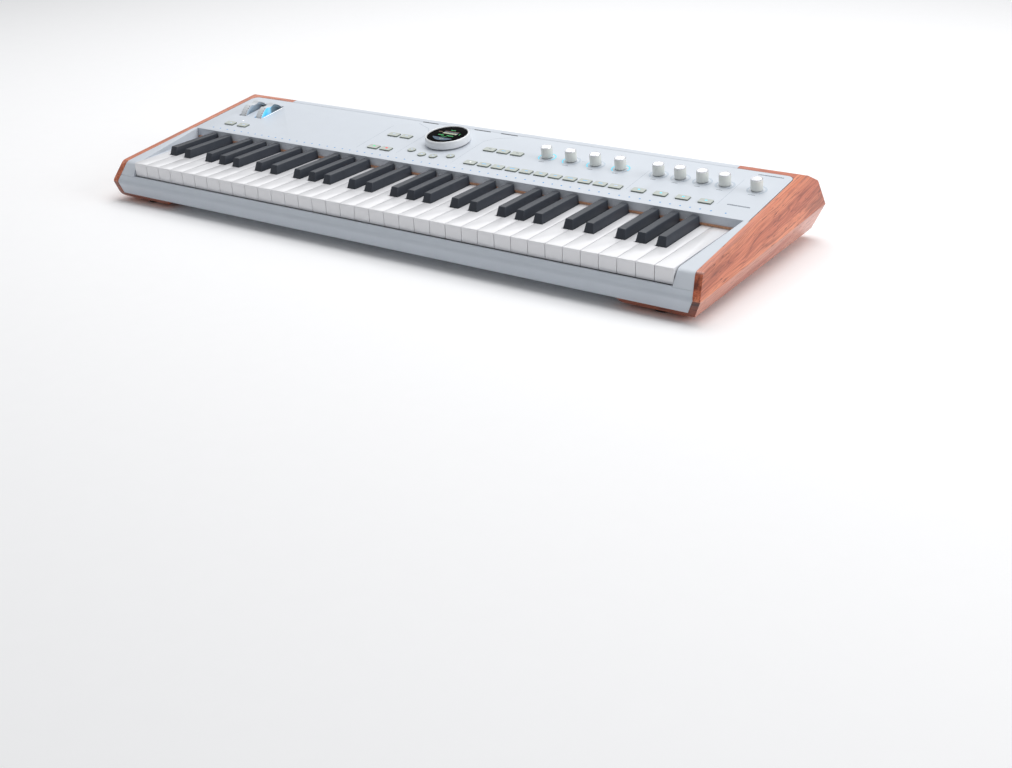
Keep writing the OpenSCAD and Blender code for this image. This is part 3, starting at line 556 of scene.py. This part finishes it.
def studio():
    bpy.ops.mesh.primitive_grid_add(x_subdivisions=8, y_subdivisions=8, size=16)
    floor = bpy.context.object
    floor.name = "studio_floor"
    floor.data.materials.append(finish_material("floor_paper", linear(250, 250, 251), 0.9,
                                                vary=0.004, bump=0.0))
    world = bpy.data.worlds.new("soft_room")
    world.use_nodes = True
    world.node_tree.nodes["Background"].inputs["Color"].default_value = (0.97, 0.985, 1.0, 1)
    world.node_tree.nodes["Background"].inputs["Strength"].default_value = 0.3
    bpy.context.scene.world = world
    area_light("overhead", (0.1, 0.7, 2.3), (0, 0, 0), (2.6, 1.8), 49)
    area_light("right_key", (2.4, 0.5, 1.2), (0.2, 0, 0), (1.4, 1.2), 20)
    area_light("rear_card", (-1.8, 2.3, 2.0), (0, 0, 0), (2.4, 1.6), 12)
    area_light("left_edge", (-2.2, -0.3, 1.3), (0, 0, 0), (1.4, 1.0), 4)
    bpy.context.scene.view_settings.view_transform = "Standard"


# ---- Case ----
def case_shells():
    corner_x = HALF_PANEL + 0.3 * MM
    foot_z = KEY_TOP_Z - 28 * MM

    def grain(f):
        """Which of the wood's five materials a face of a wooden end has; the front of the foot, the
        top and the lower outer facet get copies with painted shade, a painted highlight and a
        painted reflection.
        """
        at = f.calc_center_median()
        if f.normal.y < -0.55 and at.z < foot_z:
            return 2
        if abs(at.x) < corner_x:
            return 1
        if f.normal.z > 0.9:
            return 3
        return 4 if f.normal.z < -0.2 and abs(f.normal.x) > 0.6 else 0

    refined("top_panel", "panel", [(0.7 * MM, 3, 12 * MM)])
    for side in ("left", "right"):
        low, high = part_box(side + "_cheek_block")
        outer_x = max(abs(low.x), abs(high.x)) - 2 * MM
        refined(side + "_cheek_block", "panel", [(0.8 * MM, 3, 6 * MM)])

        def outside(e):
            return min(abs(v.co.x) for v in e.verts) > outer_x

        def seam(e):
            return not outside(e)

        # the front, top and lower veneer copies carry painted shade, a painted highlight and a
        # painted reflection of the floor
        refined(side + "_wood_end", ["wood", "wood_cross", "wood_front_painted_shade", "wood_top_grain_and_painted_highlight", "wood_low_painted_reflection"],
                [(2.2 * MM, 5, 9 * MM, outside), (0.5 * MM, 2, 6 * MM, seam)], paint=grain,
                split_x=(corner_x if high.x > 0 else -corner_x,))
    refined("front_rail", "rail", [(0.6 * MM, 2, 9 * MM)])
    refined("rear_panel", "shell", [(0.7 * MM, 2, 9 * MM)])
    refined("bottom_case", "shell", [(0.8 * MM, 2, 20 * MM)])
    refined("rubber_feet", "rubber", [(1.0 * MM, 3, 0.0)])


def plain_nodes():
    """CAD nodes whose shape is right: they only get a finish."""
    names = {"key_frame": "frame_steel", "wheel_bracket": "frame_steel",
             "key_springs": "frame_steel",
             "key_pivot_rail": "frame_steel", "key_felt": "felt", "main_board": "board",
             "panel_board": "board",
             "key_contact_board": "board", "key_rubber_contacts": "rubber",
             "button_switches": "dark_plastic",
             "encoders": "socket_metal", "key_lights": "key_led", "knob_light_rings": "ring_dim",
             "case_screws": "screw", "midi_sockets": "dark_plastic", "power_inlet": "dark_plastic",
             "jack_sockets": "dark_plastic", "data_sockets": "socket_metal"}
    for name, mat in names.items():
        data = frame["nodes"][name].data
        data.materials.clear()
        data.materials.append(MATS[mat])


def keys():
    def above_the_whites(e):
        return max(v.co.z for v in e.verts) > KEY_TOP_Z + 2 * MM

    def in_sight(e):
        return max(v.co.z for v in e.verts) > KEY_TOP_Z - 20 * MM

    for name in frame["nodes"]:
        if name.startswith("keys_") and name.endswith("_sharp"):
            refined(name, "black_key", [(0.9 * MM, 4, 2.5 * MM, above_the_whites)])
        elif name.startswith("keys_"):
            refined(name, "white_key", [(0.45 * MM, 3, 2.0 * MM, in_sight)])


# ---- Controls ----
def knobs():
    for name in frame["nodes"]:
        if not name.startswith("knob_") or name == "knob_light_rings":
            continue
        joint = JOINTS[name + "_turn"]
        at, axis = Vector(joint["pos_m"]), Vector(joint["axis"])
        low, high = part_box(name)
        r = (high.x - low.x) / 2
        tall = (high.z - at.z - r * math.sin(SLOPE)) / axis.z
        shaft, shaft_end, under = 3 * MM, -10 * MM, 0.8 * MM
        profile = [(0, shaft_end), (shaft, shaft_end), (shaft, under), (r - 0.9 * MM, under),
                   (r - 0.35 * MM, 1.0 * MM),
                   (r, 1.7 * MM), (r - 0.05 * MM, tall - 1.2 * MM),
                   (r - 0.25 * MM, tall - 0.5 * MM),
                   (r - 0.75 * MM, tall - 0.05 * MM), (r - 1.1 * MM, tall - 0.02 * MM),
                   (r - 1.4 * MM, tall - 0.3 * MM),
                   (r * 0.5, tall - 0.42 * MM), (0, tall - 0.45 * MM)]
        metal_from = 6
        cap = lathe(name + "_cap", profile, at, axis, ["knob", "knob_top"], name, 72,
                    paint=lambda i: 1 if i >= metal_from else 0)
        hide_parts(name)
        x, v = panel_place(at)
        turn = math.radians(-38)
        notch = [(x + a * math.cos(turn) - b * math.sin(turn),
                  v + a * math.sin(turn) + b * math.cos(turn))
                 for a, b in rect(r - 2.3 * MM, 0, 1.3 * MM, 0.7 * MM)]
        marks(name + "_notch", [notch], tall - 0.7 * MM, tall - 0.29 * MM, "fine_print", name,
              "knob")


LIT_RINGS = {"knob_macro_1": 0.92, "knob_macro_2": 0.42, "knob_macro_3": 0.4, "knob_macro_4": 0.85}


def ring_lights():
    """The lit stretches of the macro knobs' rings, which run clockwise from lower left."""
    first, last = 235.0, -55.0
    edge, band = 0.28 * MM, 1.2 * MM
    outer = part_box("knob_light_rings")[1].x - panel_place(JOINTS["knob_volume_turn"]["pos_m"])[0]
    inner = outer - band
    shapes, outline = [], []
    for name in JOINTS:
        if not name.startswith("knob_"):
            continue
        x, v = panel_place(JOINTS[name]["pos_m"])
        knob = name.removesuffix("_turn")
        if knob in LIT_RINGS:
            shapes += arc_band(x, v, inner, outer, first, first + (last - first) * LIT_RINGS[knob])
        outline += arc_band(x, v, inner - edge, inner, first, last) + arc_band(x, v, outer,
                                                                               outer + edge, first,
                                                                               last)
    marks("ring_lit_arcs", shapes, 0.01 * MM, 0.12 * MM, "cyan", "case", "ring_light")
    marks("ring_outlines", outline, 0.005 * MM, 0.05 * MM, "ring_edge", "case", "ring_light")


BUTTON_MARKS = {
    "octave_buttons": ["pale", "pale"], "edit_buttons": ["pale", "pale"],
    "transport_buttons": ["green_led", "red_led"],
    "screen_buttons": ["pale"] * 4, "browse_buttons": ["print", "blue", "print"],
    "category_buttons": ["white_led"] + ["blue"] * 9 + ["pale"], "effect_buttons": ["cyan"] * 4,
}


def button_centres(name):
    """(x, v) of each button in a group, left to right, read from the caps of the CAD node."""
    bm = bmesh.new()
    bm.from_mesh(frame["nodes"][name].data)
    bmesh.ops.remove_doubles(bm, verts=bm.verts, dist=WELD)
    seen, centres = set(), []
    for start in bm.verts:
        if start in seen:
            continue
        stack, island = [start], []
        seen.add(start)
        while stack:
            v = stack.pop()
            island.append(panel_place(v.co))
            for e in v.link_edges:
                other = e.other_vert(v)
                if other not in seen:
                    seen.add(other)
                    stack.append(other)
        xs, vs = zip(*island)
        centres.append(((min(xs) + max(xs)) / 2, (min(vs) + max(vs)) / 2))
    bm.free()
    return sorted(centres)


def word_mark(x, v, width, height, rng):
    """A short row of bars that stands for a printed legend, with no letters in it."""
    out, at = [], x - width / 2
    while at < x + width / 2 - 0.3 * MM:
        w = min(rng.uniform(0.5, 1.3) * MM, x + width / 2 - at)
        out.append(rect(at + w / 2, v, w, height * rng.uniform(0.75, 1.0)))
        at += w + 0.22 * MM
    return out


def buttons():
    def above_the_panel(e):
        return min(panel_height(v.co) for v in e.verts) > -0.1 * MM

    rng = random.Random(7)
    for name, colours in BUTTON_MARKS.items():
        shortest = 0.0 if name == "screen_buttons" else 0.3 * MM
        # faces that don't face up get the darker copy, painted shade on the button sides
        refined(name, ["button", "button_painted_shade"], [(0.45 * MM, 3, shortest, above_the_panel)],
                paint=lambda f: 0 if f.normal.dot(NORMAL) > 0.75 else 1)
        top = max(panel_height(v.co) for v in frame["nodes"][name].data.vertices)
        mats = sorted(set(colours))
        shapes = []
        for (x, v), colour in zip(button_centres(name), colours):
            index = mats.index(colour)
            if colour == "cyan":
                found = [rect(x, v + 1.2 * MM, 3.0 * MM, 2.4 * MM)]
            elif colour in ("green_led", "red_led"):
                found = [disc(x, v + 1.2 * MM, 1.8 * MM)]
            elif name == "screen_buttons" or (name == "category_buttons" and colour == "white_led"):
                found = [rect(x, v + 0.8 * MM, 3.2 * MM, 0.8 * MM),
                         rect(x + 0.4 * MM, v - 0.5 * MM, 2.2 * MM, 0.7 * MM)]
            else:
                width = rng.uniform(4.2, 7.5) * MM if colour == "blue" else 4.5 * MM
                found = word_mark(x, v + 1.0 * MM, width, 1.7 * MM, rng)
            shapes += [(f, index) for f in found]
        marks(name + "_legends", shapes, top - 0.05 * MM, top + 0.03 * MM, mats, body_of(name),
              "button")


def panel_height(point):
    return (Vector(point) - PANEL_ORIGIN).dot(NORMAL)


def wheels():
    # the wheels' sides darken towards the rear: painted shade of the slot
    for name, side in (("pitch_wheel", "wheel_flank_painted_shade"), ("mod_wheel", "lit_flank_and_painted_shade")):
        joint = JOINTS[name + "_turn"]
        at = Vector(joint["pos_m"])
        low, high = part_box(name)
        r = (high.z - low.z) / 2
        half = (high.x - low.x) / 2 - 1 * MM
        steps = 180
        bore, hub_r, hub_out, side_in = 3.08 * MM, 6 * MM, 1 * MM, 2.4 * MM
        groove_r, groove_in = 16 * MM, 4 * MM
        groove_at = r - groove_in + groove_r

        def to_groove(a):
            """Distance from the axle to the finger groove's wall, in direction a."""
            off = groove_at * math.cos(a - math.pi / 2)
            inside = groove_r ** 2 - groove_at ** 2 + off ** 2
            return off - math.sqrt(inside) if off > 0 and inside > 0 else r

        def notched(k):
            degrees = 360 * k / steps
            return 108 < degrees < 152 and k % 4 < 2

        profile = [(bore, -half - hub_out), (hub_r, -half - hub_out), (hub_r, -half + side_in),
                   (r - 6 * MM, -half + side_in),
                   (r - 5 * MM, -half), (r - 1.6 * MM, -half), (r - 0.5 * MM, -half + 0.5 * MM),
                   (r - 0.1 * MM, -half + 1.6 * MM),
                   (r, -half * 0.4), (r, half * 0.4), (r - 0.1 * MM, half - 1.6 * MM),
                   (r - 0.5 * MM, half - 0.5 * MM),
                   (r - 1.6 * MM, half), (r - 5 * MM, half), (r - 6 * MM, half - side_in),
                   (hub_r, half - side_in),
                   (hub_r, half + hub_out), (bore, half + hub_out), (bore, -half - hub_out)]
        knurled = {6, 7, 10, 11}
        bm = bmesh.new()
        rings = []
        for i, (rr, x) in enumerate(profile[:-1]):
            ring = []
            for k in range(steps):
                a = 2 * math.pi * k / steps
                cut = 0.35 * MM if i in knurled and notched(k) else 0.0
                q = min(rr, to_groove(a)) - cut
                ring.append(bm.verts.new(at + Vector((x, q * math.cos(a + SLOPE),
                                                      q * math.sin(a + SLOPE)))))
            rings.append(ring)
        rings.append(rings[0])
        for i, (a, b) in enumerate(zip(rings, rings[1:])):
            for k in range(steps):
                f = bm.faces.new((a[k], a[(k + 1) % steps], b[(k + 1) % steps], b[k]))
                # index 2 paints the notch faces darker, painted shade in the notches
                f.material_index = 2 if i == 10 and notched(k) else 0 if 5 <= i <= 11 else 1
        bmesh.ops.recalc_face_normals(bm, faces=bm.faces)
        smooth_by_angle(bm, 35)
        mesh = bpy.data.meshes.new(name + "_rim")
        bm.to_mesh(mesh)
        bm.free()
        piece = new_object(name + "_rim", mesh, ["wheel", side, "wheel_notch"], name)
        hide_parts(name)


def navigation_wheel():
    joint = JOINTS["nav_turn"]
    at, axis = Vector(joint["pos_m"]), Vector(joint["axis"])
    low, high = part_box("nav_ring")
    r = (high.x - low.x) / 2
    top = max(panel_height(v.co) for v in frame["nodes"]["nav_ring"].data.vertices)
    inner = r - 2.6 * MM
    ring = lathe("nav_ring_turned", [
        (inner, 1.5 * MM), (r - 1.2 * MM, 1.5 * MM), (r - 0.35 * MM, 1.8 * MM), (r, 2.5 * MM),
        (r - 0.15 * MM, top - 2.0 * MM),
        (r - 0.5 * MM, top - 0.9 * MM), (r - 1.2 * MM, top - 0.2 * MM), (r - 1.8 * MM, top),
        (inner + 0.25 * MM, top - 0.25 * MM),
        (inner, top - 0.7 * MM), (inner, 1.5 * MM)], at, axis, "nav_metal", "nav_ring",
                 120)
    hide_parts("nav_ring")
    glass_r = inner - 0.35 * MM
    stem_r, seat_r, stem_end, seat_low, rim_low = 9 * MM, 17 * MM, -9 * MM, 0.9 * MM, 3.2 * MM
    glass_top = max(panel_height(v.co) for v in frame["nodes"]["nav_screen"].data.vertices)
    glass = lathe("nav_glass", [
        (0, stem_end), (stem_r, stem_end), (stem_r, seat_low), (seat_r, seat_low),
        (seat_r, rim_low), (glass_r, rim_low),
        (glass_r, glass_top - 0.5 * MM), (glass_r - 0.4 * MM, glass_top - 0.1 * MM),
        (glass_r - 1.0 * MM, glass_top),
        (glass_r * 0.6, glass_top), (0, glass_top)], at, axis, "screen_glass", "nav_push",
                  120)
    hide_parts("nav_screen")
    screen_picture(*panel_place(at), glass_top)


def screen_picture(cx, cv, top):
    """A generic display picture: bars, a small row of keys and a blue foot segment."""
    rng = random.Random(3)
    shrink = 0.88
    mats = ["tan", "cream", "screen_blue", "screen_green", "shadow"]
    shapes = [(s, 3) for s in word_mark(cx, cv + 17 * MM, 9 * MM, 2.2 * MM, rng)]
    shapes += [(rect(cx + 2 * MM, cv + 11.4 * MM, 26 * MM, 1.7 * MM), 0),
               (rect(cx + 2 * MM, cv + 8.6 * MM, 26 * MM, 2.6 * MM), 2)]
    shapes += [(rect(cx - 10 * MM + i * 2.2 * MM, cv + 4.6 * MM, 1.9 * MM, 4.4 * MM), 1)
               for i in range(12)]
    shapes += [(s, 0) for s in word_mark(cx - 17.5 * MM, cv + 7.5 * MM, 7 * MM, 2.4 * MM, rng)]
    shapes += [(s, 3) for s in word_mark(cx - 9 * MM, cv - 3.6 * MM, 11 * MM, 2.8 * MM, rng)]
    shapes += [(s, 3) for s in word_mark(cx + 8 * MM, cv - 3.8 * MM, 13 * MM, 2.8 * MM, rng)]
    shapes += [(rect(cx + 19.5 * MM, cv + 6 * MM, 1.1 * MM, 5.5 * MM), 3)]
    shapes += [(s, 3) for s in word_mark(cx - 1 * MM, cv - 8.2 * MM, 10 * MM, 1.3 * MM, rng)]
    foot = [(cx + 22.5 * MM * math.cos(a), cv + 22.5 * MM * math.sin(a))
            for a in (math.radians(d) for d in range(-148, -31, 6))]
    shapes += [(foot, 2)]
    shapes = [([(cx + (x - cx) * shrink, cv + (v - cv) * shrink) for x, v in points], index)
              for points, index in shapes]
    marks("nav_picture", shapes, top - 0.02 * MM, top + 0.03 * MM, mats, "nav_push", "screen_glass")
    marks("nav_picture_dot",
          [rect(cx - 1 * MM, cv - 14.5 * MM, 4 * MM, 1.4 * MM),
           rect(cx + 3 * MM, cv - 14.5 * MM, 1.5 * MM, 1.4 * MM)],
          top + 0.02 * MM, top + 0.06 * MM, "cream", "nav_push", "screen_glass")


# ---- Printing on the panel ----
def panel_printing():
    rng = random.Random(11)
    thin = 0.45 * MM
    right = HALF_PANEL - 444.6 * MM
    lines = []
    for points in (
            [(-151.4, 22.5), (-151.4, 105.3)],
            [(-84, 24.8), (-84, 99.6), (-95, 113.3), (-120.9, 125.7)],
            [(9, 23.1), (9, 99.8), (19.5, 113.3), (44, 125.1)],
            [(269, 29.6), (269, 89.5)], [(391, 29.6), (391, 104)]):
        shift = right if points[0][0] > 200 else 0.0
        lines += line([(x * MM + shift, v * MM) for x, v in points], thin)
    marks("panel_dividers", lines, *INK, "fine_print", "case", "panel")
    legends = []
    for name in JOINTS:
        if name.startswith("knob_"):
            x, v = panel_place(JOINTS[name]["pos_m"])
            legends += word_mark(x, v - 15.2 * MM, 9 * MM if "volume" in name else 8 * MM, 1.3 * MM,
                                 rng)
    legends += word_mark(417 * MM + right, PANEL_DEPTH - 8.5 * MM, 33 * MM, 2.6 * MM, rng)
    legends += word_mark(417 * MM + right, 33.5 * MM, 29 * MM, 3.0 * MM, rng)
    marks("knob_legends", legends, *INK, "print", "case", "panel")
    faint = []
    for name in ("browse_buttons", "effect_buttons", "octave_buttons"):
        for x, v in button_centres(name):
            faint += word_mark(x, v + 8.0 * MM if name == "effect_buttons" else v - 8.0 * MM,
                               6 * MM, 0.9 * MM, rng)
    x, v = panel_place(JOINTS["knob_macro_3_turn"]["pos_m"])
    faint += word_mark(x - 19 * MM, v + 3 * MM, 6 * MM, 1.2 * MM, rng)
    marks("fine_legends", faint, *INK, "fine_print", "case", "panel")
    dashes = [rect(x * MM, PANEL_DEPTH - 1.2 * MM, 27.5 * MM, 1.9 * MM) for x in (-104, -14.5, 30)]
    marks("rear_vents", dashes, 0.005 * MM, 0.06 * MM, "shadow", "case", "panel")
    px, pv = panel_place(JOINTS["pitch_wheel_turn"]["pos_m"])
    mx, _ = panel_place(JOINTS["mod_wheel_turn"]["pos_m"])
    strip = [rect(mx + 9.4 * MM, pv - 20 * MM + i * 4.1 * MM, 1.6 * MM, 2.7 * MM)
             for i in range(10)]
    marks("mod_light_strip", strip, 0.005 * MM, 0.08 * MM, "white_led", "case", "ring_light")
    marks("octave_light", [disc((px + mx) / 2 + 1.7 * MM, 46.5 * MM, 1.3 * MM)], 0.005 * MM,
          0.08 * MM, "white_led", "case", "ring_light")


# ---- Rear face ----
def rear_details():
    low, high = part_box("jack_sockets")
    z = (low.z + high.z) / 2
    face = high.y
    pitch = 26 * MM
    first = low.x + 7.5 * MM
    for i in range(8):
        lathe(f"jack_nut_{i + 1}",
              [(3.2 * MM, -2.6 * MM), (3.2 * MM, 1.6 * MM), (3.5 * MM, 1.9 * MM),
               (4.4 * MM, 1.9 * MM),
                                    (4.6 * MM, 1.3 * MM), (5.3 * MM, 1.0 * MM),
               (5.5 * MM, 0.05 * MM), (3.2 * MM, -2.6 * MM)],
              (first + i * pitch, face, z), Vector((0, 1, 0)), "socket_metal", "case",
              36)
    refined("power_button", "dark_plastic", [(0.6 * MM, 3, 0.0)])


studio()
place_camera()
case_shells()
plain_nodes()
keys()
knobs()
ring_lights()
buttons()
wheels()
navigation_wheel()
panel_printing()
rear_details()
